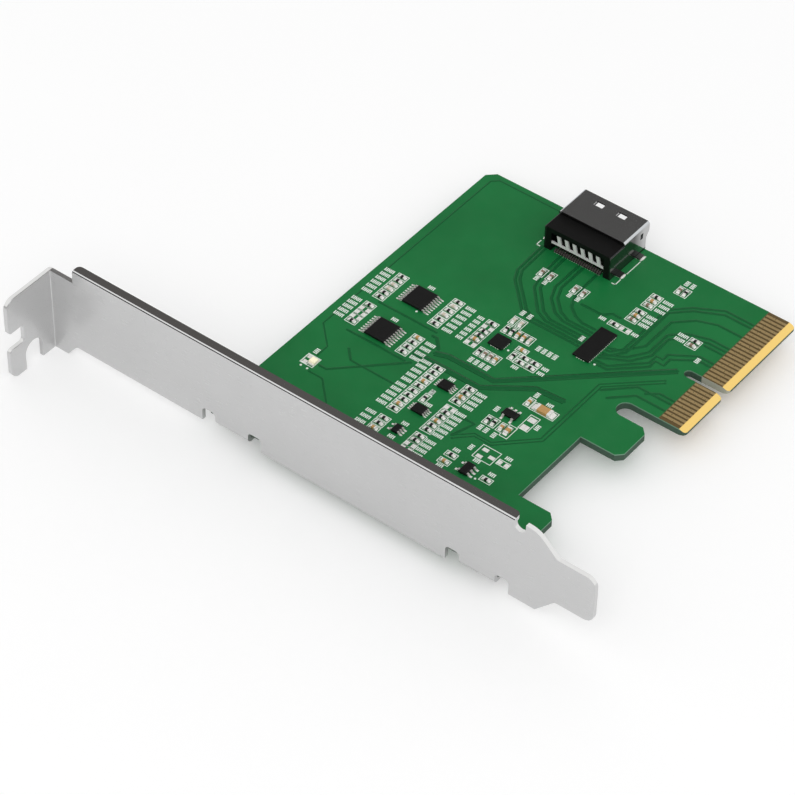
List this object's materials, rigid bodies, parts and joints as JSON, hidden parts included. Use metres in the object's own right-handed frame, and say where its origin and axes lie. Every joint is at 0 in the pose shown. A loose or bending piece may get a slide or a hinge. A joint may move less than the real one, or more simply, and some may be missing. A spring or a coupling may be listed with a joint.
{
  "type": "pcie adapter card",
  "caption": "Low-height expansion card with an edge connector, a full-height folded bracket and one internal cable port on its far edge.",
  "frame": {"origin": "on the bracket's outer face, where the plane of the board's component side crosses the line of the contact edge", "axes": "+X along the card away from the bracket, +Y from the contact edge towards the bracket's screw tab, +Z out of the board's component side"},
  "size_m": [0.0957, 0.1201, 0.0213],
  "materials": {
    "board_laminate": "green solder mask over glass laminate",
    "gold_contacts": "gold plated",
    "bracket_steel": "satin plated sheet",
    "screw_steel": "bright plated",
    "port_plastic": "black moulded",
    "cage_steel": "dark satin plated sheet",
    "comb_steel": "light satin",
    "tinned_leads": "tin plated",
    "tinned_ends": "tin plated",
    "solder_lands": "tinned copper",
    "lamp_lens": "clear cream",
    "lamp_base": "pale laminate",
    "resistor_ceramic": "black glaze on ceramic",
    "tan_ceramic": "tan ceramic",
    "pale_ceramic": "pale ceramic",
    "brown_ceramic": "brown ceramic",
    "chip_plastic": "black moulded"
  },
  "bodies": {
    "root": {"bracket_screws": "screw_steel", "brown_capacitor_bodies": "brown_ceramic", "brown_capacitor_terminals": "tinned_ends", "buffer_chip_far_body": "chip_plastic", "buffer_chip_far_leads": "tinned_leads", "buffer_chip_near_body": "chip_plastic", "buffer_chip_near_leads": "tinned_leads", "bulk_capacitor_bodies": "tan_ceramic", "bulk_capacitor_terminals": "tinned_ends", "circuit_board": "board_laminate", "component_lands": "solder_lands", "controller_body": "chip_plastic", "controller_terminals": "tinned_ends", "edge_contacts_back": "gold_contacts", "edge_contacts_front": "gold_contacts", "gate_chip_body": "chip_plastic", "gate_chip_leads": "tinned_leads", "lamp_base": "lamp_base", "lamp_lens": "lamp_lens", "lamp_terminals": "tinned_ends", "logic_chip_far_body": "chip_plastic", "logic_chip_far_leads": "tinned_leads", "logic_chip_near_body": "chip_plastic", "logic_chip_near_leads": "tinned_leads", "medium_capacitor_bodies": "tan_ceramic", "medium_capacitor_terminals": "tinned_ends", "mounting_bracket": "bracket_steel", "pale_capacitor_bodies": "pale_ceramic", "pale_capacitor_terminals": "tinned_ends", "port_cage": "cage_steel", "port_comb": "comb_steel", "port_contacts_lower": "gold_contacts", "port_contacts_upper": "gold_contacts", "port_housing": "port_plastic", "port_tails": "tinned_leads", "redriver_body": "chip_plastic", "redriver_terminals": "tinned_ends", "regulator_chip_body": "chip_plastic", "regulator_chip_leads": "tinned_leads", "reset_chip_body": "chip_plastic", "reset_chip_leads": "tinned_leads", "resistor_bodies": "resistor_ceramic", "resistor_terminals": "tinned_ends", "tan_capacitor_bodies": "tan_ceramic", "tan_capacitor_terminals": "tinned_ends"}
  },
  "joints": []
}
